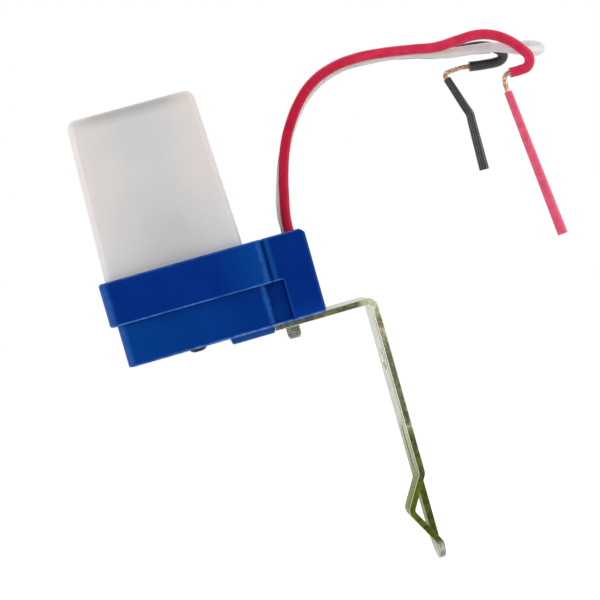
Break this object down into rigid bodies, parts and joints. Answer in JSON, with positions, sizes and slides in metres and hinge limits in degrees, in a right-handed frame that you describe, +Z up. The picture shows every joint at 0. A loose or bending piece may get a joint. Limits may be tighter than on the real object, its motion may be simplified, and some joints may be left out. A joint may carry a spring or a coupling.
{
  "type": "photocell switch",
  "caption": "Dusk-to-dawn photocell switch: milky dome on a blue two-step base, bent zinc-plated bracket with wall hole and sprung leg, and short stripped leads.",
  "frame": {"origin": "centre of the bracket's wall hole, on the face of the leg that lies against the wall", "axes": "+Z up along the bracket's leg and the dome's axis, +X into the wall, +Y across the bracket to the right when facing the wall's inner side"},
  "size_m": [0.1226, 0.03, 0.1268],
  "materials": {
    "blue_plastic": "glossy moulded blue plastic",
    "milky_plastic": "satin translucent milky plastic",
    "zinc_steel": "steel strip with yellowish zinc plating",
    "screw_steel": "dull zinc-plated steel",
    "dark_steel": "blackened steel",
    "board_laminate": "paper laminate",
    "relay_case": "moulded case",
    "film_case": "moulded case",
    "can_sleeve": "shrunk sleeve",
    "black_epoxy": "moulded epoxy",
    "diode_bead": "glossy bead",
    "resistor_lacquer": "lacquer",
    "sensor_face": "coated ceramic",
    "solder": "bright solder",
    "red_insulation": "satin vinyl",
    "white_insulation": "satin vinyl",
    "black_insulation": "satin vinyl",
    "copper": "bare twisted copper"
  },
  "bodies": {
    "root": {"base_housing": "blue_plastic", "bottom_plate": "blue_plastic", "dome_cover": "milky_plastic", "mounting_bracket": "zinc_steel", "bracket_screw": "screw_steel", "cover_screw": "dark_steel", "circuit_board": "board_laminate", "relay": "relay_case", "film_capacitor": "film_case", "electrolytic_capacitor": "can_sleeve", "rectifier_diodes": "black_epoxy", "zener_diode": "diode_bead", "resistors": "resistor_lacquer", "transistor": "black_epoxy", "photoresistor": "sensor_face", "solder_joints": "solder", "red_lead": "red_insulation", "white_lead": "white_insulation", "black_lead": "black_insulation", "red_strands": "copper", "white_strands": "copper", "black_strands": "copper", "red_end_sleeve": "red_insulation", "white_end_sleeve": "white_insulation", "black_end_sleeve": "black_insulation"}
  },
  "joints": []
}
